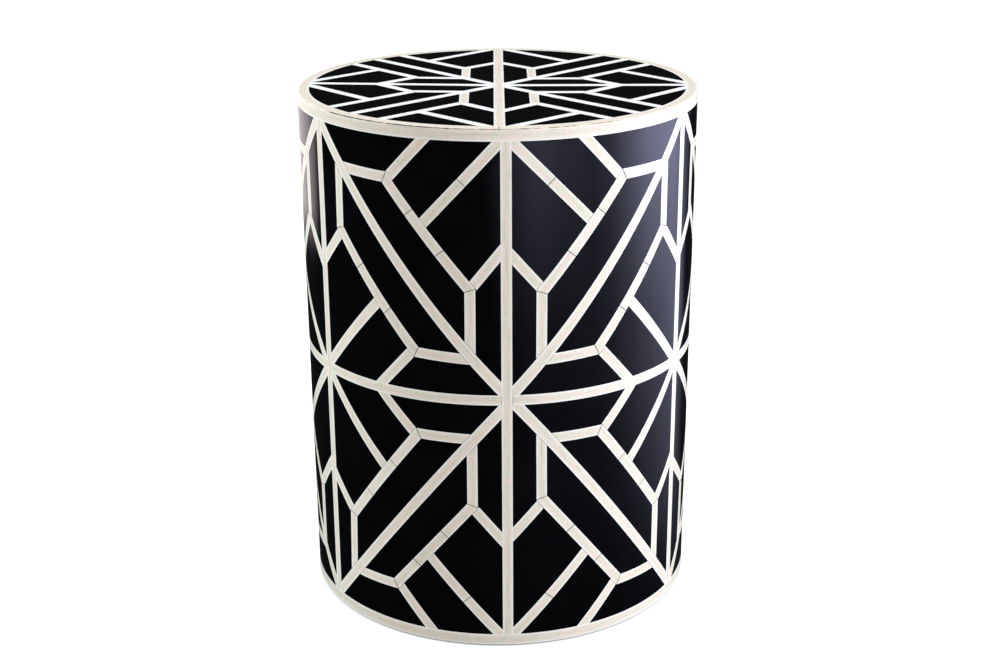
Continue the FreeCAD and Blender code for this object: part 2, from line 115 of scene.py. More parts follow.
def curved_sheet(low, high, start, sweep, radius=DRUM_RADIUS):
    """Upright sheet on the drum's face, between two heights and two angles."""
    bm = bmesh.new()
    foot = wall_out(start) * radius
    ends = [bm.verts.new(foot + UP * z) for z in (low, high)]
    edge = bm.edges.new(ends)
    bmesh.ops.spin(bm, geom=ends + [edge], cent=(0, 0, 0), axis=(0, 0, 1), angle=sweep,
                   steps=max(1, round(sweep / COLUMN_ANGLE)))
    return bm


def flat_disc(radius):
    """One round face on the top of the drum."""
    bm = bmesh.new()
    bmesh.ops.create_circle(bm, cap_ends=True, radius=radius, segments=round(math.tau / COLUMN_ANGLE),
                            matrix=Matrix.Translation(UP * TOP_HEIGHT))
    return bm


def sawn(sheet, planes):
    """Copy of a sheet, keeping the side of each plane that its normal points away from."""
    bm = sheet.copy()
    for point, normal in planes:
        bmesh.ops.bisect_plane(bm, geom=bm.verts[:] + bm.edges[:] + bm.faces[:], dist=SAW_TOLERANCE,
                               plane_co=point, plane_no=normal, clear_outer=True)
    return bm


# %% [markdown]
# ## From sheet to piece
# A sawn sheet has no thickness. Extruding its faces and pulling the new ones back, towards the axis
# on the wall or down on the top, makes a closed slip of bone or resin as thick as the inlay. Bone
# edges are eased with a tiny bevel, and the sides that face a joint are stained dark by glue. Two UV
# maps go with each bone piece, measured in metres along and across it, so that grain can follow the
# strip wherever it points. A face attribute called tone gives each piece its own shade, as no two
# pieces of bone match. One called pale marks where painted light goes: the strips of the top, all but
# those from front to back, are drawn paler to stand in for how brightly light falls on them.

# %% Thickness, eased edges and glue
OUTWARD = 0.3


def thicken(bm, on_wall):
    """Close a sawn sheet into a slip as thick as the inlay, and return its show faces."""
    show = bm.faces[:]
    made = bmesh.ops.extrude_face_region(bm, geom=show, use_keep_orig=True)
    back = [item for item in made["geom"] if isinstance(item, bmesh.types.BMVert)]
    if on_wall:
        shrink = 1 - INLAY_DEPTH / DRUM_RADIUS
        bmesh.ops.scale(bm, vec=(shrink, shrink, 1), verts=back)
    else:
        bmesh.ops.translate(bm, vec=-UP * INLAY_DEPTH, verts=back)
    bmesh.ops.recalc_face_normals(bm, faces=bm.faces[:])
    return show


def ease(bm, show):
    """Round over the edges where a piece's show faces turn down into its sides, as sanding does."""
    faces = set(show)
    border = [edge for face in show for edge in face.edges if sum(f in faces for f in edge.link_faces) == 1]
    bmesh.ops.bevel(bm, geom=border, offset=EASED_EDGE, offset_type="OFFSET", segments=1, profile=0.5,
                    affect="EDGES", clamp_overlap=True, material=-1)


def stain_sides(bm, on_wall):
    """Give the faces that don't look out of the surface the second material, which is glue."""
    bm.normal_update()
    for face in bm.faces:
        out = face.calc_center_median() * Vector((1, 1, 0)) if on_wall else UP
        face.material_index = 0 if face.normal.dot(out.normalized()) > OUTWARD else 1


# %% Grain maps and finished pieces
SHARP_ANGLE = math.radians(20)
FRONT_TO_BACK = 0.9


def straight_lie(origin, along, across):
    """Function that tells how far a point lies along and across a straight strip."""
    def lie(point):
        step = point - origin
        return step.dot(along), step.dot(across)
    return lie


def finish_piece(bm, lie, half, painted_top_light=0.0):
    """Write the grain maps of one piece, make room for its tone, and mark its corners sharp."""
    grain = bm.loops.layers.uv.new("grain")
    edge_map = bm.loops.layers.uv.new("edge")
    bm.faces.layers.float.new("tone")
    pale = bm.faces.layers.float.new("pale")
    for face in bm.faces:
        face.smooth = True
        face[pale] = painted_top_light
        for loop in face.loops:
            along, across = lie(loop.vert.co)
            loop[grain].uv = (along, across)
            loop[edge_map].uv = (across / half, 0.0)
    for edge in bm.edges:
        edge.smooth = edge.calc_face_angle(0) < SHARP_ANGLE
    mesh = bpy.data.meshes.new("piece")
    bm.to_mesh(mesh)
    bm.free()
    return mesh


def bone_piece(sheet, planes, origin, along, across, half, on_wall):
    """Saw one strip of bone, thicken it and ease its edges."""
    bm = sawn(sheet, planes)
    show = thicken(bm, on_wall)
    ease(bm, show)
    stain_sides(bm, on_wall)
    # Painted light: the top's strips, except those from front to back, are drawn paler.
    painted_top_light = 0.0 if on_wall or abs(along.y) > FRONT_TO_BACK else 1.0
    return finish_piece(bm, straight_lie(origin, along, across), half, painted_top_light)


def resin_piece(sheet, planes, on_wall):
    """Saw one cell of black resin and thicken it. Poured resin has no eased edge."""
    bm = sawn(sheet, planes)
    thicken(bm, on_wall)
    return finish_piece(bm, straight_lie(Vector(), Vector((1, 0, 0)), UP), 1.0)


# %% [markdown]
# ## Laying out a lattice
# A lattice is a few named strips between named corners. A strip runs straight along the surface, so
# it lies between two parallel planes, and its ends are of three kinds: mitred where two strips turn
# a corner, butted where it stops against the side of another strip, or cut off by the frame round
# it. The cells need no outline of their own. Each is the part of the sheet on its own side of the
# strips that it touches, found from one point inside it.

# %% A strip of the lattice
def side_saws(point, across, half):
    """Planes along both sides of a strip through a point."""
    return [(point + across * side * half, across * side) for side in (1, -1)]


class Strip:
    """A straight strip between two corners of a lattice."""

    def __init__(self, place, start, finish, joints=(), width=STRIP_WIDTH):
        self.place, self.start, self.finish, self.joints = place, start, finish, joints
        self.first, out_first = place(start)
        self.last, out_last = place(finish)
        self.out = (out_first + out_last).normalized()
        self.along = (self.last - self.first).normalized()
        self.across = self.out.cross(self.along)
        self.half = width / 2

    def heading(self, corner):
        """Direction along the surface, away from one of the strip's corners."""
        point, out = self.place(corner)
        step = (self.last if corner == self.start else self.first) - point
        return (step - out * step.dot(out)).normalized()

    def saw_beside(self, point, gap):
        """Plane along the strip's side that leaves the given point's side standing."""
        side = math.copysign(1, (point - self.first).dot(self.across))
        return self.first + self.across * side * (self.half + gap), -self.across * side


# %% Mitres, joints and cells
def mitre_plane(strip, other, corner):
    """Plane between two strips that leave one corner, with half a joint's gap."""
    point, out = strip.place(corner)
    own, away = strip.heading(corner), other.heading(corner)
    normal = out.cross((own + away).normalized())
    normal *= math.copysign(1, normal.dot(away))
    return point - normal * JOINT_GAP / 2, normal


def strip_pieces(name, strips, mitred, butts):
    """Grain origin and saw planes for each piece of one strip."""
    strip = strips[name]
    planes = side_saws(strip.first, strip.across, strip.half)
    middle = (strip.first + strip.last) / 2
    if name in butts:
        planes.append(strips[butts[name]].saw_beside(middle, JOINT_GAP / 2))
    for corner in (strip.start, strip.finish):
        for other in strips.values():
            if corner in mitred and other is not strip and corner in (other.start, other.finish):
                planes.append(mitre_plane(strip, other, corner))
    marks = [0.0, *strip.joints, 1.0]
    run = strip.last - strip.first
    for share, next_share in zip(marks, marks[1:]):
        ends = []
        if share > 0.0:
            ends.append((strip.first + run * share + strip.along * JOINT_GAP / 2, -strip.along))
        if next_share < 1.0:
            ends.append((strip.first + run * next_share - strip.along * JOINT_GAP / 2, strip.along))
        yield strip.first + run * share, planes + ends


def lay_lattice(sheet, place, strips, mitred, butts, cells, on_wall):
    """Bone meshes and resin meshes that together fill one sheet."""
    bone = []
    for name, strip in strips.items():
        for origin, planes in strip_pieces(name, strips, mitred, butts):
            bone.append(bone_piece(sheet, planes, origin, strip.along, strip.across, strip.half, on_wall))
    resin = []
    for seed, beside in cells:
        point = place(seed)[0]
        resin.append(resin_piece(sheet, [strips[name].saw_beside(point, 0.0) for name in beside], on_wall))
    return bone, resin


# %% [markdown]
# ## Places in the wall tiles
# The wall has six bays, each with a tile above the waist and one below. A long diagonal crosses the
# tile, a stretched hexagon lies round it, short links tie the hexagon to the frame, and a brace runs
# in from each of the two free corners. The strips were laid by eye, so the four tiles that the
# photograph shows differ by a few millimetres, and each has its own row of places. A place is a pair
# of shares: how far across the bay, and how far from the waist to the band. Shoulders, feet and link
# ends go in the order stile, waist, band, next stile. A foot, where a short side meets the diagonal,
# has its share across by the stiles and its share up by the waist and the band. A link starts a few
# millimetres along a long side, past the shoulder.

# %% Places measured in the four tiles
TILES = {
    "right_upper": dict(
        diagonal=(-0.002, 1.005),
        shoulders=((0.158, 0.416), (0.427, 0.166), (0.561, 0.823), (0.836, 0.582)),
        feet=(0.157, 0.153, 0.823, 0.835),
        link_starts=(2.4, 2.8, 3.8, 1.4), link_ends=(0.582, 0.628, 0.331, 0.410),
        brace_feet=(0.603, 0.422), brace_ends=(0.998, -0.013)),
    "right_lower": dict(
        diagonal=(0.020, 1.020),
        shoulders=((0.160, 0.404), (0.449, 0.161), (0.576, 0.826), (0.835, 0.562)),
        feet=(0.158, 0.162, 0.831, 0.835),
        link_starts=(3.3, 2.5, 4.8, 1.9), link_ends=(0.573, 0.649, 0.351, 0.394),
        brace_feet=(0.567, 0.429), brace_ends=(1.002, -0.004)),
    "left_upper": dict(
        diagonal=(-0.021, 1.007),
        shoulders=((0.162, 0.427), (0.419, 0.171), (0.562, 0.826), (0.848, 0.594)),
        feet=(0.164, 0.159, 0.832, 0.843),
        link_starts=(0.7, 3.2, 2.9, 3.6), link_ends=(0.599, 0.631, 0.340, 0.434),
        brace_feet=(0.573, 0.431), brace_ends=(1.002, 0.007)),
    "left_lower": dict(
        diagonal=(-0.022, 1.010),
        shoulders=((0.162, 0.431), (0.417, 0.155), (0.562, 0.817), (0.831, 0.581)),
        feet=(0.161, 0.158, 0.822, 0.844),
        link_starts=(0.9, 3.2, 3.6, 1.5), link_ends=(0.596, 0.626, 0.351, 0.433),
        brace_feet=(0.564, 0.423), brace_ends=(1.014, 0.003)),
}
WALL_CELLS = (
    ((0.06, 0.35), ("diagonal", "stile_side", "stile_link")),
    ((0.35, 0.06), ("diagonal", "waist_side", "waist_link")),
    ((0.35, 0.55), ("diagonal", "stile_side", "upper_long", "band_side")),
    ((0.60, 0.40), ("diagonal", "waist_side", "lower_long", "next_side")),
    ((0.12, 0.65), ("stile_link", "upper_long", "upper_brace")),
    ((0.30, 0.90), ("upper_brace", "upper_long", "band_link")),
    ((0.65, 0.92), ("band_link", "band_side", "diagonal")),
    ((0.88, 0.35), ("next_link", "lower_long", "lower_brace")),
    ((0.70, 0.10), ("lower_brace", "lower_long", "waist_link")),
    ((0.94, 0.65), ("diagonal", "next_side", "next_link")),
)
WALL_BUTTS = {
    "stile_side": "diagonal", "waist_side": "diagonal", "band_side": "diagonal", "next_side": "diagonal",
    "stile_link": "upper_long", "band_link": "upper_long", "upper_brace": "upper_long",
    "waist_link": "lower_long", "next_link": "lower_long", "lower_brace": "lower_long",
}
print("tiles measured:", sorted(TILES))

# %% [markdown]
# ## Laying the wall tiles
# Long sides and short sides turn the hexagon's corners with a mitre. A link butts on the long side
# just past its shoulder, a brace butts on it further along, and a short side butts on the diagonal.

# %% From shares to places
def part_way(first, second, share):
    return tuple(a + (b - a) * share for a, b in zip(first, second))


def set_back(place, shoulder, far, distance):
    """Place on a long side where the link beside its shoulder starts, so many millimetres along."""
    return part_way(shoulder, far, distance * MM / (place(far)[0] - place(shoulder)[0]).length)


def stile_saws():
    """Planes along the two stiles that bound the front bay."""
    tangent = UP.cross(wall_out(BAY_ANGLE))
    front_tangent = UP.cross(wall_out(0))
    return [(front_tangent * STRIP_WIDTH / 2, -front_tangent), (tangent * -STRIP_WIDTH / 2, tangent)]


def wall_places(rise):
    """Function from a place in a tile to a point on the drum's face and the outward direction there."""
    def place(corner):
        out = wall_out(corner[0] * BAY_ANGLE)
        return out * DRUM_RADIUS + UP * (WAIST_HEIGHT + corner[1] * rise), out
    return place


# %% Lay the four wall tiles
TILE_EDGES = ("stile", "waist", "band", "next")
THREE_PARTS = (0.34, 0.70)
TWO_PARTS = (0.5,)


def lay_tile(shares, low, high, rise):
    """Bone and resin of one tile of the front bay. Rise is negative below the waist."""
    place = wall_places(rise)
    low_end, high_end = zip(shares["diagonal"], (0.0, 1.0))
    stile, waist, band, next_stile = shares["shoulders"]
    far_shoulders = (band, next_stile, stile, waist)
    feet = [foot if edge in ("waist", "band") else (foot - low_end[0]) / (high_end[0] - low_end[0])
            for edge, foot in zip(TILE_EDGES, shares["feet"])]
    on_stile, on_waist, on_band, on_next = shares["link_ends"]
    link_ends = ((0.0, on_stile), (on_waist, 0.0), (on_band, 1.0), (1.0, on_next))
    upper_foot, lower_foot = shares["brace_feet"]
    upper_end, lower_end = shares["brace_ends"]
    strips = {"diagonal": Strip(place, low_end, high_end),
              "upper_long": Strip(place, stile, band, THREE_PARTS),
              "lower_long": Strip(place, waist, next_stile, THREE_PARTS)}
    for edge, shoulder, foot in zip(TILE_EDGES, shares["shoulders"], feet):
        strips[edge + "_side"] = Strip(place, shoulder, part_way(low_end, high_end, foot))
    for edge, shoulder, far, start, end in zip(TILE_EDGES, shares["shoulders"], far_shoulders,
                                               shares["link_starts"], link_ends):
        strips[edge + "_link"] = Strip(place, set_back(place, shoulder, far, start), end)
    strips["upper_brace"] = Strip(place, part_way(stile, band, upper_foot), (0.0, upper_end), TWO_PARTS)
    strips["lower_brace"] = Strip(place, part_way(waist, next_stile, lower_foot), (1.0, lower_end))
    sheet = sawn(curved_sheet(low, high, 0.0, BAY_ANGLE), stile_saws())
    return lay_lattice(sheet, place, strips, shares["shoulders"], WALL_BUTTS, WALL_CELLS, on_wall=True)


tiles = {}
for side in ("right", "left"):
    tiles[side, "upper"] = lay_tile(TILES[side + "_upper"], waist_high.z, band_low.z, UPPER_RISE)
    tiles[side, "lower"] = lay_tile(TILES[side + "_lower"], foot_high.z, waist_low.z, -LOWER_RISE)
print("tiles:", {" ".join(name): (len(bone), len(resin)) for name, (bone, resin) in tiles.items()})

# %% [markdown]
# ## The quarters of the top
# The top repeats the motif on the flat. A cross parts it into four quarters. It was set by eye too, so
# its hub lies a little in front of the axis and its arms aren't quite square. In each quarter a
# diagonal runs out to the rim with a lane on both sides. The two halves of a quarter are alike, so one
# loop lays both. Places are shares of the radius inside the rim, along the two arms.

# %% Arms of the cross
TOP_HUB = Vector((0.9 * MM, -6.5 * MM, TOP_HEIGHT))
ARM_HEADINGS = (-3.0, 88.1, 173.0, 268.1)
TOP_STRIP_WIDTH = 8.8 * MM


def arm_way(index):
    """Direction of one arm of the cross: right, back, left or front."""
    angle = math.radians(ARM_HEADINGS[index % 4])
    return Vector((math.cos(angle), math.sin(angle), 0))


def arm_side(index):
    """Direction across one arm, towards the next arm round."""
    return UP.cross(arm_way(index))


def arm_half(index):
    """Half the width of one arm. The strip from back to front is as wide as a stile."""
    return (STRIP_WIDTH if index % 2 else TOP_STRIP_WIDTH) / 2


def arm_length(index):
    """Distance from the hub to the rim, as a share of the radius inside the rim."""
    hub = Vector((TOP_HUB.x, TOP_HUB.y, 0))
    lean = hub.dot(arm_way(index))
    return (math.sqrt(lean ** 2 - hub.dot(hub) + RIM_INNER_RADIUS ** 2) - lean) / RIM_INNER_RADIUS


# %% Lay the quarters of the top
TOP_SIDE, TOP_SHOULDER, TOP_LINK = 0.180, 0.445, 0.646
TOP_LINK_START = 2.7
TOP_BRACE_ACROSS, TOP_BRACE_PAST_RIM = 0.400, 0.060


def lay_quarter(index):
    """Bone and resin between one arm of the cross and the next."""
    def place(corner):
        step = arm_way(index) * corner[0] + arm_way(index + 1) * corner[1]
        return TOP_HUB + step * RIM_INNER_RADIUS, UP

    lane = TOP_SHOULDER - TOP_SIDE

    def strip(start, finish, joints=()):
        return Strip(place, start, finish, joints, TOP_STRIP_WIDTH)

    strips = {"diagonal": strip((0, 0), (1, 1), TWO_PARTS)}
    mitred, butts, cells = [], {}, []
    for half_name, swap in (("left", False), ("right", True)):
        def placed(across, up):
            return (up, across) if swap else (across, up)

        shoulder, long_end = placed(TOP_SIDE, TOP_SHOULDER), placed(1 - lane, 1)
        brace_foot = placed(TOP_BRACE_ACROSS, TOP_BRACE_ACROSS + lane)
        brace_end = placed(0, arm_length(index if swap else index + 1) + TOP_BRACE_PAST_RIM)
        names = [half_name + end for end in ("_long", "_side", "_link", "_brace")]
        long_side, short_side, link, brace = names
        strips[long_side] = strip(shoulder, long_end, TWO_PARTS)
        strips[short_side] = strip(shoulder, (TOP_SIDE, TOP_SIDE))
        strips[link] = strip(set_back(place, shoulder, long_end, TOP_LINK_START), placed(0, TOP_LINK))
        strips[brace] = strip(brace_foot, brace_end)
        mitred.append(shoulder)
        butts[short_side] = "diagonal"
        butts[link] = long_side
        butts[brace] = long_side
        cells += [
            (placed(0.08, 0.30), ("diagonal", short_side, link)),
            (placed(0.40, 0.55), ("diagonal", short_side, long_side)),
            (placed(0.10, 0.75), (link, long_side, brace)),
            (placed(0.35, 0.80), (brace, long_side)),
        ]
    near, far = arm_side(index), arm_side(index + 1)
    saws = [(TOP_HUB + near * arm_half(index), -near), (TOP_HUB - far * arm_half(index + 1), far)]
    sheet = sawn(flat_disc(RIM_INNER_RADIUS), saws)
    return lay_lattice(sheet, place, strips, mitred, butts, cells, on_wall=False)


quarters = [lay_quarter(index) for index in range(4)]
print("quarters:", [(len(bone), len(resin)) for bone, resin in quarters])

# %% [markdown]
# ## Setting the pieces
# Bays to the right of a stile and bays to its left take turns round the wall. The left pair of tiles
# was measured from the front stile too, so it is mirrored as it is set, and like meets like at every
# stile. Each object stands for one node of the frame. A mirror turns a mesh inside out, so its faces
# are reversed. Every copy of a piece draws its own tone from one seeded generator, which keeps the
# result the same on each run.

# %% Put copies of the pieces into one object per node
TONE_SEED = 11
draw_tone = random.Random(TONE_SEED)
pieces = {}


def new_object(name, bm):
    mesh = bpy.data.meshes.new(name)
    bm.to_mesh(mesh)
    bm.free()
    obj = bpy.data.objects.new(name, mesh)
    bpy.context.scene.collection.objects.link(obj)
    return obj


def set_pieces(name, node, slot, copies):
    """One object from placed copies of piece meshes, standing for one node of the frame."""
    bm = bmesh.new()
    for mesh, matrix in copies:
        first_vert, first_face = len(bm.verts), len(bm.faces)
        bm.from_mesh(mesh)
        bm.verts.ensure_lookup_table()
        bm.faces.ensure_lookup_table()
        bmesh.ops.transform(bm, matrix=matrix, verts=bm.verts[first_vert:])
        new_faces = bm.faces[first_face:]
        if matrix.determinant() < 0:
            bmesh.ops.reverse_faces(bm, faces=new_faces)
        tone = draw_tone.random()
        layer = bm.faces.layers.float["tone"]
        for face in new_faces:
            face[layer] = tone
    piece = new_object(name, bm)
    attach(piece, "root")
    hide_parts(node)
    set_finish(piece, slot)
    pieces[name] = piece


# %% Set the bays and the quarters
STRAIGHT = Matrix.Identity(4)
KINDS = (("lattice", "bone"), ("cells", "black_resin"))
for bay in range(BAYS):
    if bay % 2:
        side, matrix = "left", Matrix.Rotation(BAY_ANGLE * (bay + 1), 4, "Z") @ Matrix.Scale(-1, 4, (1, 0, 0))
    else:
        side, matrix = "right", Matrix.Rotation(BAY_ANGLE * bay, 4, "Z")
    for index, (kind, slot) in enumerate(KINDS):
        meshes = tiles[side, "upper"][index] + tiles[side, "lower"][index]
        set_pieces(f"wall_{kind}_inlay_{bay + 1}", f"wall_{kind}_{bay + 1}", slot,
                   [(mesh, matrix) for mesh in meshes])
for number, quarter in enumerate(quarters, start=1):
    for meshes, (kind, slot) in zip(quarter, KINDS):
        set_pieces(f"top_{kind}_inlay_{number}", f"top_{kind}_{number}", slot,
                   [(mesh, STRAIGHT) for mesh in meshes])
print("set", len(pieces), "inlay objects")

# %% [markdown]
# ## The bone frame
# Stiles and waist frame the tiles, and are sawn from the same kind of sheet.

# %% Stiles and waist
STILE_SHEET_ANGLE = math.radians(8)


def turned_copies(mesh, count, start=0.0):
    return [(mesh, Matrix.Rotation(start + index * math.tau / count, 4, "Z")) for index in range(count)]


side_way = UP.cross(wall_out(0))
stile_sheet = curved_sheet(foot_high.z, band_low.z, -STILE_SHEET_ANGLE / 2, STILE_SHEET_ANGLE)
stile_mesh = bone_piece(stile_sheet, side_saws(Vector(), side_way, STRIP_WIDTH / 2), UP * foot_high.z,
                        UP, side_way, STRIP_WIDTH / 2, True)
for index in range(BAYS):
    set_pieces(f"stile_bone_{index + 1}", f"stile_{index + 1}", "bone",
               [(stile_mesh, Matrix.Rotation(index * BAY_ANGLE, 4, "Z"))])

middle_way = UP.cross(wall_out(BAY_ANGLE / 2))
waist_gap_saws = [(point - normal * JOINT_GAP / 2, normal) for point, normal in stile_saws()]
waist_mesh = bone_piece(curved_sheet(waist_low.z, waist_high.z, 0.0, BAY_ANGLE), waist_gap_saws,
                        UP * WAIST_HEIGHT, middle_way, UP, STRIP_WIDTH / 2, True)
set_pieces("waist_bone", "waist_band", "bone", turned_copies(waist_mesh, BAYS))
print("stiles and waist:", [name for name in pieces if name.endswith("bone") or name.startswith("stile")])

# %% [markdown]
# ## Bands and rim
# The bands round the wall and the rim of the top are rings cut into short curved pieces. Each piece is
# an outline of its section, swept round the drum's axis. At the top the rim and the band meet in a
# mitre. Hands and trays have worn that edge round, and a line of glue shows in it. So both outlines
# take their part of one small arc, and leave room for the glue between them.

# %% Pieces of a ring
ARRIS_RADIUS = 1.2 * MM
ARRIS_STEPS = 3
GLUE_LINE_WIDTH = 1.1 * MM


def spun_ring(outline, start, sweep):
    """Closed piece of a ring: an outline of (radius, height) pairs swept round the axis."""
    bm = bmesh.new()
    corners = [bm.verts.new(wall_out(start) * radius + UP * height) for radius, height in outline]
    sides = [bm.edges.new(pair) for pair in zip(corners, corners[1:] + corners[:1])]
    bmesh.ops.spin(bm, geom=corners + sides, cent=(0, 0, 0), axis=(0, 0, 1), angle=sweep,
                   steps=round(sweep / COLUMN_ANGLE))
    bmesh.ops.holes_fill(bm, edges=[edge for edge in bm.edges if edge.is_boundary])
    bmesh.ops.recalc_face_normals(bm, faces=bm.faces[:])
    return bm


def ring_piece(outline, count, gap, across, half):
    """One of the equal pieces of a ring. Across tells how far a point lies across the piece."""
    gap_angle = gap / DRUM_RADIUS
    bm = spun_ring(outline, gap_angle / 2, math.tau / count - gap_angle)
    return finish_piece(bm, lambda point: (math.atan2(point.x, -point.y) * DRUM_RADIUS, across(point)), half)


def arris(start, finish):
    """Part of the worn edge's arc, between two angles up from level."""
    angles = [start + (finish - start) * step / ARRIS_STEPS for step in range(ARRIS_STEPS + 1)]
    middle, level = DRUM_RADIUS - ARRIS_RADIUS, TOP_HEIGHT - ARRIS_RADIUS
    return [(middle + ARRIS_RADIUS * math.cos(angle), level + ARRIS_RADIUS * math.sin(angle))
            for angle in angles]


def band_outline(low, high, upper):
    """Section of a band: its inner side, its eased lower edge, and the given points at its upper edge."""
    inner = DRUM_RADIUS - INLAY_DEPTH
    lower = [(DRUM_RADIUS - EASED_EDGE, low), (DRUM_RADIUS, low + EASED_EDGE)]
    return [(inner, high), (inner, low)] + lower + upper


# %% Set the bands and the rim
BAND_PIECES, RIM_PIECES = 12, 12
RIM_TURN = math.radians(-1.7)
BAND_GAP = 0.1 * MM
half_line = GLUE_LINE_WIDTH / math.sqrt(2)
mitre_angle = math.acos(GLUE_LINE_WIDTH / 2 / ARRIS_RADIUS) - math.radians(45)
inlay_floor = TOP_HEIGHT - INLAY_DEPTH
half_piece = math.tau / BAND_PIECES / 2
half_band = (foot_high.z - foot_low.z) / 2
foot_outline = band_outline(foot_low.z, foot_high.z, [(DRUM_RADIUS, foot_high.z)])
top_outline = band_outline(band_low.z, inlay_floor - half_line, arris(0, mitre_angle))
for edge, low, outline in (("bottom", foot_low.z, foot_outline), ("top", band_low.z, top_outline)):
    mesh = ring_piece(outline, BAND_PIECES, BAND_GAP, lambda point: point.z - low - half_band, half_band)
    set_pieces(edge + "_band_bone", edge + "_edge_band", "bone", turned_copies(mesh, BAND_PIECES, half_piece))

rim_outline = arris(math.radians(90) - mitre_angle, math.radians(90))
rim_outline += [(RIM_INNER_RADIUS + EASED_EDGE, TOP_HEIGHT), (RIM_INNER_RADIUS, TOP_HEIGHT - EASED_EDGE)]
rim_outline += [(RIM_INNER_RADIUS, inlay_floor), (DRUM_RADIUS - INLAY_DEPTH - half_line, inlay_floor)]
half_rim = (DRUM_RADIUS - RIM_INNER_RADIUS) / 2
rim_mesh = ring_piece(rim_outline, RIM_PIECES, JOINT_GAP,
                      lambda point: point.xy.length - RIM_INNER_RADIUS - half_rim, half_rim)
set_pieces("top_rim_bone", "top_rim_ring", "bone", turned_copies(rim_mesh, RIM_PIECES, RIM_TURN))
print("rings:", {name: len(pieces[name].data.polygons) for name in ("top_band_bone", "top_rim_bone")})

# %% [markdown]
# ## The cross of the top
# One strip runs from front to back in three pieces, and an arm butts on it from each side.

# %% Cross of the top
CROSS_MIDDLE_LENGTH = 120 * MM
disc = flat_disc(RIM_INNER_RADIUS)
half_middle, half_gap = CROSS_MIDDLE_LENGTH / 2, JOINT_GAP / 2


def cross_piece(index, saws):
    """Piece of the cross that lies along one arm, sawn to length."""
    across, half = arm_side(index), arm_half(index)
    saws = side_saws(TOP_HUB, across, half) + saws
    return bone_piece(disc, saws, TOP_HUB, arm_way(index), across, half, False)


middle_saws = [(TOP_HUB + way * (half_middle - half_gap), way) for way in (arm_way(3), arm_way(1))]
cross_meshes = [cross_piece(1, middle_saws)]
for index in (1, 3):
    way = arm_way(index)
    cross_meshes.append(cross_piece(index, [(TOP_HUB + way * (half_middle + half_gap), -way)]))
for index, across in ((0, -arm_side(1)), (2, arm_side(1))):
    cross_meshes.append(cross_piece(index, [(TOP_HUB + across * (arm_half(1) + half_gap), -across)]))
set_pieces("top_cross_bone", "top_cross", "bone", [(mesh, STRAIGHT) for mesh in cross_meshes])
print("bone frame:", [name for name in pieces if name.endswith("bone")])

# %% [markdown]
# ## A small kit for materials
# Colours are written as sRGB hex, as a painter's swatch would give them, and one function makes them
# linear. One adds a node, with its settings, its values and its links, and a new material comes with
# that function bound to its own tree. A pattern's scale is 1000 over its size in millimetres, because
# the table is measured in metres.

# %% Colour and node helpers
RANGE_INPUTS = ("Value", "From Min", "From Max", "To Min", "To Max")


def colour(hex_code):
    """Linear RGBA from an sRGB hex code."""
    parts = [int(hex_code[i:i + 2], 16) / 255 for i in (1, 3, 5)]
    return tuple(c / 12.92 if c <= 0.04045 else ((c + 0.055) / 1.055) ** 2.4 for c in parts) + (1.0,)


def fill_inputs(node, inputs):
    """Fill inputs, by name or number, with a value, a socket, or another node's first output."""
    for name, value in inputs.items():
        if isinstance(value, bpy.types.Node):
            value = value.outputs[0]
        if isinstance(value, bpy.types.NodeSocket):
            node.id_data.links.new(value, node.inputs[name])
        else:
            node.inputs[name].default_value = value


def add_node(tree, kind, inputs=None, **settings):
    """A new shader node, with its settings and its inputs."""
    node = tree.nodes.new("ShaderNode" + kind)
    for name, value in settings.items():
        setattr(node, name, value)
    fill_inputs(node, inputs or {})
    return node


def new_material(name):
    """An empty material, a function that adds nodes to it, and its shader."""
    material = bpy.data.materials.new(name)
    material.use_nodes = True
    tree = material.node_tree
    return material, functools.partial(add_node, tree), tree.nodes["Principled BSDF"]


def set_stops(ramp, stops):
    """Give a colour ramp its stops, as pairs of a place and a hex code or a linear colour."""
    elements = ramp.color_ramp.elements
    while len(elements) < len(stops):
        elements.new(0.5)
    for element, (place, shade) in zip(elements, stops):
        element.position = place
        element.color = colour(shade) if isinstance(shade, str) else shade
    return ramp
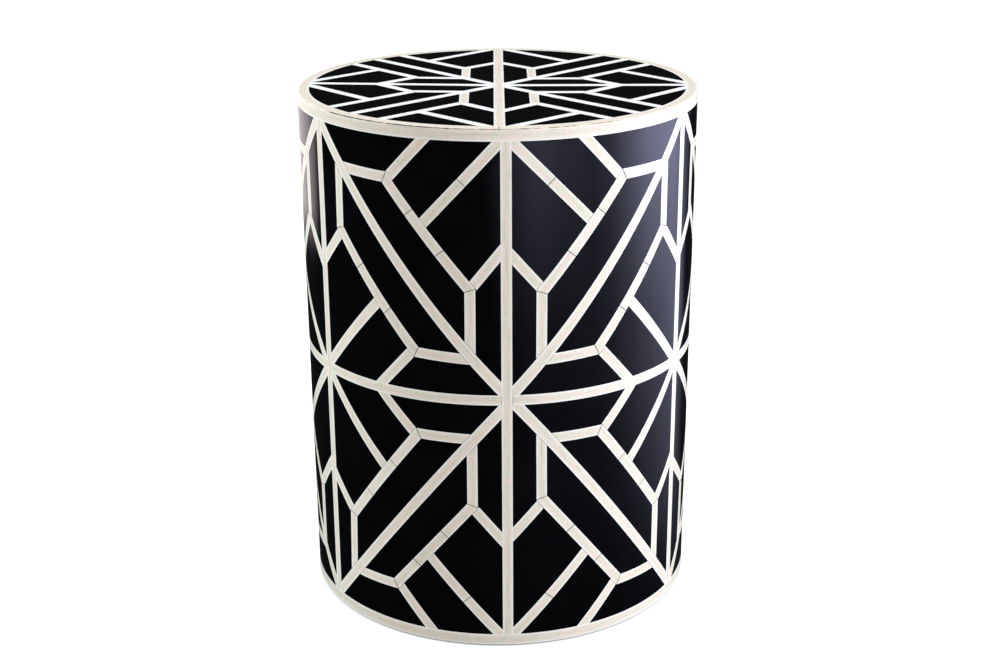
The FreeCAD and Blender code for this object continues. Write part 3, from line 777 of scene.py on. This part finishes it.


# %% [markdown]
# ## Polished bone
# Camel or cattle bone is sawn into slips, glued down, sanded and buffed. It is ivory, mottled with a
# warm pink or a greenish cast that changes from piece to piece, with fine streaks along its length and
# short faint pores, and it takes a satin gloss. Its edges are drawn palest, a painted highlight along
# them. The grain map is in metres, so it is first turned to millimetres, and the piece's tone is its
# third coordinate so that no two pieces share a streak. Real streaks are finer than a pixel here and
# are drawn about twice as wide.
# The colours are laid over one another like coats. The glue that stains the joints is nearly black.

# %% Bone
def make_bone():
    material, add, shader = new_material("polished_bone")
    grain = add("UVMap", uv_map="grain")
    tone = add("Attribute", attribute_name="tone").outputs["Fac"]
    pale = add("Attribute", attribute_name="pale").outputs["Fac"]
    tone_shift = add("CombineXYZ", {"Z": tone})

    def pattern_space(along_mm, across_mm, tone_step):
        """Grain coordinates, with one unit for each given length along and across the strip."""
        scale = (1000 / along_mm, 1000 / across_mm, 0)
        scaled = add("VectorMath", {0: grain, 1: scale}, operation="MULTIPLY")
        return add("VectorMath", {0: tone_shift, 1: (tone_step,) * 3, 2: scaled}, operation="MULTIPLY_ADD")

    streaks = add("TexNoise", {"Vector": pattern_space(34, 1.4, 53), "Scale": 1, "Detail": 3,
                               "Roughness": 0.6})
    mottles = add("TexNoise", {"Vector": pattern_space(8, 4.5, 31), "Scale": 1, "Detail": 2,
                               "Roughness": 0.55})
    pores = add("TexVoronoi", {"Vector": pattern_space(3.2, 1.3, 71), "Scale": 1, "Randomness": 1.0})
    sideways = add("SeparateXYZ", {0: add("UVMap", uv_map="edge")})
    edge_side = add("Math", {0: sideways}, operation="ABSOLUTE")

    shade = set_stops(add("ValToRGB", {"Fac": tone}),
                      [(0.0, "#E4E1D4"), (0.3, "#ECE5DA"), (0.55, "#F0E8DF"), (0.8, "#F2E9E3"),
                       (1.0, "#F5F1EA")])
    cast = set_stops(add("ValToRGB", {"Fac": mottles}),
                     [(0.34, "#DEE2CE"), (0.5, "#F0E9E0"), (0.66, "#F8E0D7")])
    # Painted highlight: this ramp and the edge row below make each strip lighter towards its edges.
    edge_highlight_ramp = set_stops(add("ValToRGB", {"Fac": edge_side}),
                     [(0.0, "#F5F2EB"), (0.4, "#FBF5EE"), (0.75, "#FFFDFA")])
    # The pale row is painted light, which draws the top's strips paler.
    ranges = ((streaks, 0.50, 0.78, 0.0, 0.6), (pores, 0.08, 0.22, 0.42, 0.0),
              (edge_side, 0.66, 0.92, 0.0, 0.75), (pale, 0.0, 1.0, 0.0, 0.75),
              (streaks, 0.3, 0.8, 0.26, 0.42))
    streak_mask, pore_mask, edge_highlight_mask, painted_top_light_mask, gloss = [
        add("MapRange", dict(zip(RANGE_INPUTS, row))) for row in ranges]
    coats = ((0.6, cast, "MIX"), (streak_mask, colour("#CBBFAD"), "MIX"),
             (pore_mask, colour("#9C8A70"), "MIX"), (1.0, edge_highlight_ramp, "MULTIPLY"),
             (edge_highlight_mask, colour("#FAF8F5"), "MIX"), (painted_top_light_mask, colour("#FBFBFB"), "MIX"))
    tint = shade
    for share, coat, blend in coats:
        tint = add("Mix", {0: share, 6: tint, 7: coat}, data_type="RGBA", blend_type=blend).outputs[2]

    relief = add("Math", {0: pore_mask, 1: streak_mask}, operation="ADD")
    bump = add("Bump", {"Height": relief, "Strength": 0.35, "Distance": 0.05 * MM}, invert=True)
    fill_inputs(shader, {"Base Color": tint, "Roughness": gloss, "Normal": bump, "IOR": 1.54})
    return material


# %% Glue in the joints
def make_joint_glue():
    material, add, shader = new_material("dark_joint_glue")
    place = add("TexCoord").outputs["Object"]
    smears = add("TexNoise", {"Vector": place, "Scale": 1000 / 3, "Detail": 2})
    tint = set_stops(add("ValToRGB", {"Fac": smears}), [(0.35, "#0B0A0A"), (0.65, "#241D18")])
    fill_inputs(shader, {"Base Color": tint, "Roughness": 0.7})
    return material


inlay_finishes = {"bone": (make_bone(), make_joint_glue())}
print("bone:", [material.name for material in inlay_finishes["bone"]])

# %% [markdown]
# ## Gloss black resin
# The cells are filled with black resin that is wet-sanded and buffed. It mirrors its surroundings
# faintly face-on and strongly at a glancing angle. Buffing leaves cloudy changes in gloss, a few fine
# scratches and a surface that is never quite flat, and these keep the reflections from looking like
# glass.

# %% Black resin
def make_resin():
    material, add, shader = new_material("buffed_black_resin")
    place = add("TexCoord").outputs["Object"]
    buffing = add("TexNoise", {"Vector": place, "Scale": 1000 / 55, "Detail": 3, "Roughness": 0.55})
    dust = add("TexVoronoi", {"Vector": place, "Scale": 1000 / 7, "Randomness": 1.0})
    scratch_space = add("Mapping", {"Vector": place, "Rotation": (0.4, 0.7, 0.3),
                                    "Scale": (1000 / 40, 1000 / 40, 1000 / 0.9)})
    scratches = add("TexNoise", {"Vector": scratch_space, "Scale": 1, "Detail": 1})
    waves = add("TexNoise", {"Vector": place, "Scale": 1000 / 38, "Detail": 1})

    ranges = ((dust, 0.03, 0.07, 0.35, 0.0), (buffing, 0.3, 0.7, 0.07, 0.15),
              (scratches, 0.66, 0.8, 0.0, 0.12))
    speck, haze, scratch = [add("MapRange", dict(zip(RANGE_INPUTS, row))) for row in ranges]
    tint = set_stops(add("ValToRGB", {"Fac": buffing}), [(0.3, "#030304"), (0.7, "#070709")])
    specked = add("Mix", {0: speck, 6: tint, 7: colour("#2E2D31")}, data_type="RGBA").outputs[2]
    rough = add("Math", {0: haze, 1: scratch}, operation="ADD")
    bump = add("Bump", {"Height": waves, "Strength": 0.3, "Distance": 0.08 * MM})
    fill_inputs(shader, {"Base Color": specked, "Roughness": rough, "Normal": bump, "IOR": 1.45})
    return material


inlay_finishes["black_resin"] = (make_resin(),)
for piece in pieces.values():
    for material in inlay_finishes[piece["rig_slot"]]:
        piece.data.materials.append(material)
print("inlay finishes on", len(pieces), "objects")

# %% [markdown]
# ## The plain parts
# The thin glue line at the rim, the plywood carcass, the nylon glides and the zinc-plated screws keep
# the frame's own meshes, because their shapes are right as they are. They only need finishes. The
# glue line is patchy, partly its own colour and partly painted shade. It is dark in two places towards
# the left of the front, painted as shade where the mitre gapes, tan in front, and nearly bone-coloured
# elsewhere, where the filler reaches the surface.

# %% Glue line
# Shade of the glue line by angle round the table: partly the glue's own colour, partly painted shade.
GLUE_AND_SHADE_BY_ANGLE = ((-56, "#FFFFFF"), (-51, "#000000"), (-43, "#202020"), (-39, "#909090"), (-31, "#808080"),
        (-27, "#303030"), (-17, "#606060"), (-12, "#B0B0B0"), (20, "#C0C0C0"), (48, "#FFFFFF"))


def angle_share(add, place):
    """Angle round the table as a share of a turn: 0.5 in front, and more towards +X."""
    axes = add("SeparateXYZ", {0: place})
    ahead = add("Math", {0: axes.outputs["Y"], 1: -1.0}, operation="MULTIPLY")
    angle = add("Math", {0: axes.outputs["X"], 1: ahead}, operation="ARCTAN2")
    return add("MapRange", {"Value": angle, "From Min": -math.pi, "From Max": math.pi})


def round_stops(levels):
    """Stops of a ramp on that share, from pairs of an angle in degrees and a colour."""
    return [((degrees + 180) / 360, shade) for degrees, shade in levels]


def make_glue_line_and_shade():
    material, add, shader = new_material("glue_line_and_shade")
    place = add("TexCoord").outputs["Object"]
    patches = add("TexNoise", {"Vector": place, "Scale": 1000 / 8, "Detail": 3, "Roughness": 0.7})
    glue_and_shade = set_stops(add("ValToRGB", {"Fac": angle_share(add, place)}), round_stops(GLUE_AND_SHADE_BY_ANGLE))
    filled = add("Math", {0: glue_and_shade, 1: 0.4, 2: patches}, operation="MULTIPLY_ADD")
    tint = set_stops(add("ValToRGB", {"Fac": filled}),
                     [(0.46, "#1A120B"), (0.53, "#5E4530"), (0.64, "#A08868"), (0.78, "#CDBDA6"),
                      (0.9, "#E6DDCF")])
    fill_inputs(shader, {"Base Color": tint, "Roughness": 0.85, "Specular IOR Level": 0.2})
    return material


# %% Plywood, nylon and zinc
def make_plywood():
    material, add, shader = new_material("birch_plywood")
    place = add("TexCoord").outputs["Object"]
    along = add("Mapping", {"Vector": place, "Scale": (1000 / 5, 1000 / 5, 1000 / 90)})
    figure = add("TexNoise", {"Vector": along, "Scale": 1, "Detail": 4})
    fibres = add("TexNoise", {"Vector": place, "Scale": 1000 / 2.5, "Detail": 2})
    tint = set_stops(add("ValToRGB", {"Fac": figure}), [(0.3, "#A98458"), (0.5, "#C29D6E"), (0.7, "#D3B487")])
    rough = add("MapRange", {"Value": fibres, "To Min": 0.55, "To Max": 0.8})
    bump = add("Bump", {"Height": fibres, "Strength": 0.3, "Distance": 0.1 * MM})
    fill_inputs(shader, {"Base Color": tint, "Roughness": rough, "Normal": bump})
    return material


def make_fitting(name, grain_mm, detail, stops, smoothest, roughest, metallic=0.0):
    """Finish of the glides or the screws: colour and gloss follow one fine grain."""
    material, add, shader = new_material(name)
    place = add("TexCoord").outputs["Object"]
    grain = add("TexNoise", {"Vector": place, "Scale": 1000 / grain_mm, "Detail": detail})
    tint = set_stops(add("ValToRGB", {"Fac": grain}), stops)
    rough = add("MapRange", {"Value": grain, "To Min": smoothest, "To Max": roughest})
    fill_inputs(shader, {"Base Color": tint, "Roughness": rough, "Metallic": metallic})
    return material


nylon = make_fitting("moulded_nylon", 0.8, 2, [(0.3, "#1C1C1D"), (0.7, "#2A2A2B")], 0.45, 0.65)
zinc = make_fitting("zinc_plated_steel", 2, 3, [(0.3, "#A9A9A6"), (0.7, "#C9C8C2")], 0.25, 0.45, 1.0)
plain = {"filler": make_glue_line_and_shade(), "carcass_wood": make_plywood(), "nylon": nylon, "steel": zinc}
for part in frame["record"]["subparts"]:
    if part["material_slot"] in plain:
        materials = frame["nodes"][part["node"]].data.materials
        materials.clear()
        materials.append(plain[part["material_slot"]])
print("plain finishes:", sorted(material.name for material in plain.values()))

# %% [markdown]
# ## Floor and world
# The photograph is a cut-out on white. The floor and the world are therefore white to the camera and
# to mirror-like rays, at a strength that does not light the table, and the floor still takes the
# shadow. Right under the table the floor doesn't glow, so the low gap at its foot stays dark.

# %% Stage helpers
STAGE_SEGMENTS = 96


def seen_rays(add):
    """One for rays that the eye follows: from the camera, off gloss or through glass."""
    path = add("LightPath").outputs
    seen = path["Is Camera Ray"]
    for other in (path["Is Glossy Ray"], path["Is Transmission Ray"]):
        seen = add("Math", {0: seen, 1: other}, operation="MAXIMUM")
    return seen


def lay_round(bm, radius, height):
    """Add one level round face about the table's axis."""
    bmesh.ops.create_circle(bm, cap_ends=True, radius=radius, segments=STAGE_SEGMENTS,
                            matrix=Matrix.Translation(UP * height))


def stage_object(name, bm, material):
    obj = new_object(name, bm)
    obj.data.materials.append(material)
    return obj


# %% Floor and world
FLOOR_RADIUS, FLOOR_ALBEDO = 8.0, "#B2B2B2"
SEEN_WHITE, WORLD_FILL = 0.72, 0.89
# Between these radii the floor's glow fades out. Outside the foot this leaves a thin darker ring, a painted
# contact shadow. Under the table the real shadow shows.
GLOW_STARTS, GLOW_FULL = DRUM_RADIUS - 3 * MM, DRUM_RADIUS + 2 * MM

floor_paint, add, shader = new_material("pale_floor")
place = add("TexCoord").outputs["Object"]
reach = add("VectorMath", {0: place}, operation="LENGTH").outputs["Value"]
clear_white = add("MapRange", {"Value": reach, "From Min": GLOW_STARTS, "From Max": GLOW_FULL,
                               "To Max": SEEN_WHITE})
floor_glow = add("Math", {0: seen_rays(add), 1: clear_white}, operation="MULTIPLY")
fill_inputs(shader, {"Base Color": colour(FLOOR_ALBEDO), "Roughness": 0.9, "Specular IOR Level": 0.0,
                     "Emission Color": (1, 1, 1, 1), "Emission Strength": floor_glow})
floor_mesh = bmesh.new()
lay_round(floor_mesh, FLOOR_RADIUS, 0.0)
stage_object("floor", floor_mesh, floor_paint)

world = bpy.data.worlds.new("studio")
world.use_nodes = True
bpy.context.scene.world = world
add = functools.partial(add_node, world.node_tree)
sky_level = add("MapRange", {"Value": seen_rays(add), "To Min": WORLD_FILL, "To Max": 1.0})
fill_inputs(world.node_tree.nodes["Background"], {"Color": (1, 1, 1, 1), "Strength": sky_level})
print("floor", FLOOR_RADIUS, "m in radius, world fill", WORLD_FILL)

# %% [markdown]
# ## What the black mirrors
# Polished black shows little of its own colour and a lot of the room. A photographer therefore shapes
# the room with cards just out of view, and here only glossy rays see them. The wall is seen from a
# little above, so it mirrors the floor, and its upper rows mirror the floor far away. So the floor
# card is dark beside the table and to the left, and brightens with distance towards the right, where
# the window would be, up to a line on the floor behind that side. A warm glow lies far off behind the
# left side. A dark curtain with a canopy stands round the card and keeps the top black.

# %% A card that only gloss sees
CARD_BASE = 0.012
LINE_STARTS, LINE_FULL = 0.15, 0.27


def make_card(name, bm, glows):
    """Stage piece that only glossy rays see.

    A glow has levels by angle, a tint, the distances at which it starts and is full, and perhaps a line
    on the floor that it stops at.
    """
    material, add, shader = new_material(name + "_cloth")
    place = add("TexCoord").outputs["Object"]
    share = angle_share(add, place)
    reach = add("VectorMath", {0: place}, operation="LENGTH").outputs["Value"]
    total = (CARD_BASE,) * 3
    for levels, tint, (starts, full), line in glows:
        distance = add("MapRange", {"Value": reach, "From Min": starts, "From Max": full})
        if line:
            ahead = add("VectorMath", {0: place, 1: line}, operation="DOT_PRODUCT").outputs["Value"]
            lit = add("MapRange", {"Value": ahead, "From Min": LINE_STARTS, "From Max": LINE_FULL})
            distance = add("Math", {0: distance, 1: lit}, operation="MULTIPLY")
        ramp = add("ValToRGB", {"Fac": share})
        ramp.color_ramp.interpolation = "EASE"
        set_stops(ramp, round_stops([(degrees, [channel * level for channel in colour(tint)[:3]] + [1])
                                     for degrees, level in levels]))
        glow = add("VectorMath", {0: ramp, "Scale": distance}, operation="SCALE")
        total = add("VectorMath", {0: glow, 1: total}, operation="ADD")
    fill_inputs(shader, {"Emission Color": total, "Emission Strength": 1.0, "Base Color": (0, 0, 0, 1),
                         "Roughness": 1.0, "Specular IOR Level": 0.0})
    card = stage_object(name, bm, material)
    for ray in ("camera", "diffuse", "transmission", "shadow"):
        setattr(card, "visible_" + ray, False)


# %% Floor card and curtain
CARD_RADIUS, CARD_HEIGHT, CURTAIN_TOP = 4.0, 0.002, 4.0
WINDOW_TINT, WARM_TINT = "#D5D6FF", "#FFF2F6"
WINDOW = ((-6, 0.0), (4, 0.15), (15, 0.3), (31, 0.35), (48, 0.5), (58, 0.75), (70, 1.5), (84, 2.5), (94, 2.9),
          (112, 2.8), (122, 1.5), (131, 0.35), (142, 0.1), (170, 0.0))
FAR_WINDOW = ((-10, 0.0), (6, 0.5), (19, 0.95), (36, 0.5), (50, 0.1), (62, 0.2), (76, 1.1), (88, 1.7),
              (100, 1.2), (114, 0.3), (124, 0.0))
LEFT_GLOW = ((-180, 0.0), (-166, 1.0), (-136, 1.25), (-129, 0.9), (-121, 0.0))
WINDOW_REACH, FAR_REACH, LEFT_REACH = (0.1, 2.2), (1.0, 2.1), (1.24, 1.5)
FLOOR_LINE = (0.775, -0.632, 0)
CURTAIN_SHARE = 0.14

card_mesh = bmesh.new()
lay_round(card_mesh, CARD_RADIUS, CARD_HEIGHT)
make_card("floor_card", card_mesh, [(WINDOW, WINDOW_TINT, WINDOW_REACH, FLOOR_LINE),
                                    (FAR_WINDOW, WINDOW_TINT, FAR_REACH, FLOOR_LINE),
                                    (LEFT_GLOW, WARM_TINT, LEFT_REACH, None)])
dim_window = [(degrees, level * CURTAIN_SHARE) for degrees, level in WINDOW]
curtain_mesh = curved_sheet(0.0, CURTAIN_TOP, 0.0, math.tau, CARD_RADIUS)
lay_round(curtain_mesh, CARD_RADIUS, CURTAIN_TOP)
make_card("curtain", curtain_mesh, [(dim_window, WINDOW_TINT, WINDOW_REACH, None)])

# %% [markdown]
# ## Lights
# A soft box at the right is the key, as bright as the window it stands for. A weaker one behind the left
# side lifts that edge, and one overhead lights the top. Gloss doesn't see them, as the cards are what it
# mirrors, so no view of the top is lost in a lamp's glare.

# %% Soft boxes
TABLE_MIDDLE = Vector((0, 0, 0.3))
SOFT_BOXES = (("right_soft_box", (1.78, -0.48, 1.0), 1.0, 40, "#E4F0FF"),
              ("left_soft_box", (-1.78, 0.65, 1.0), 0.8, 31, "#E4FAFF"),
              ("overhead_soft_box", (0.2, -0.3, 2.4), 1.6, 8.5, "#F2F6FF"))

for name, spot, width, watts, tint in SOFT_BOXES:
    light = bpy.data.lights.new(name, "AREA")
    light.size = width
    light.energy = watts
    light.color = colour(tint)[:3]
    lamp = bpy.data.objects.new(name, light)
    lamp.location = spot
    lamp.rotation_euler = (TABLE_MIDDLE - Vector(spot)).to_track_quat("-Z", "Y").to_euler()
    lamp.visible_glossy = False
    bpy.context.scene.collection.objects.link(lamp)
print("lights:", [name for name, *_ in SOFT_BOXES])

# %% [markdown]
# ## Camera
# The camera was found by fitting the drum and its lattice to the photograph: about a metre and a half
# away, a little above the top, and looking down by twenty degrees. The front stile sits two degrees
# to the right of the line from the camera to the axis, so the camera stands that much round to the
# left.

# %% Camera
CAMERA_DISTANCE = 1.538
CAMERA_HEIGHT = 0.811
CAMERA_ROUND = math.radians(-2.0)
CAMERA_DOWN = math.radians(20.16)
CAMERA_PAN = math.radians(0.03)
CAMERA_ROLL = math.radians(-0.36)
FOCAL_PIXELS, IMAGE_WIDTH, SENSOR_WIDTH = 1626.0, 1000.0, 36.0

lens = bpy.data.cameras.new("camera")
lens.sensor_fit = "HORIZONTAL"
lens.sensor_width = SENSOR_WIDTH
lens.lens = FOCAL_PIXELS / IMAGE_WIDTH * SENSOR_WIDTH
camera = bpy.data.objects.new("camera", lens)
forward = -wall_out(CAMERA_ROUND - CAMERA_PAN) * math.cos(CAMERA_DOWN) - UP * math.sin(CAMERA_DOWN)
right = forward.cross(UP).normalized()
above = right.cross(forward)
level_turn = Matrix((right, above, -forward)).transposed().to_4x4()
camera.matrix_world = Matrix.Translation(wall_out(CAMERA_ROUND) * CAMERA_DISTANCE
                                         + UP * CAMERA_HEIGHT) @ level_turn
camera.matrix_world @= Matrix.Rotation(CAMERA_ROLL, 4, "Z")
bpy.context.scene.collection.objects.link(camera)
bpy.context.scene.camera = camera
bpy.context.scene.view_settings.view_transform = "Standard"
print(f"camera {camera.location[:]} lens {lens.lens:.1f} mm")
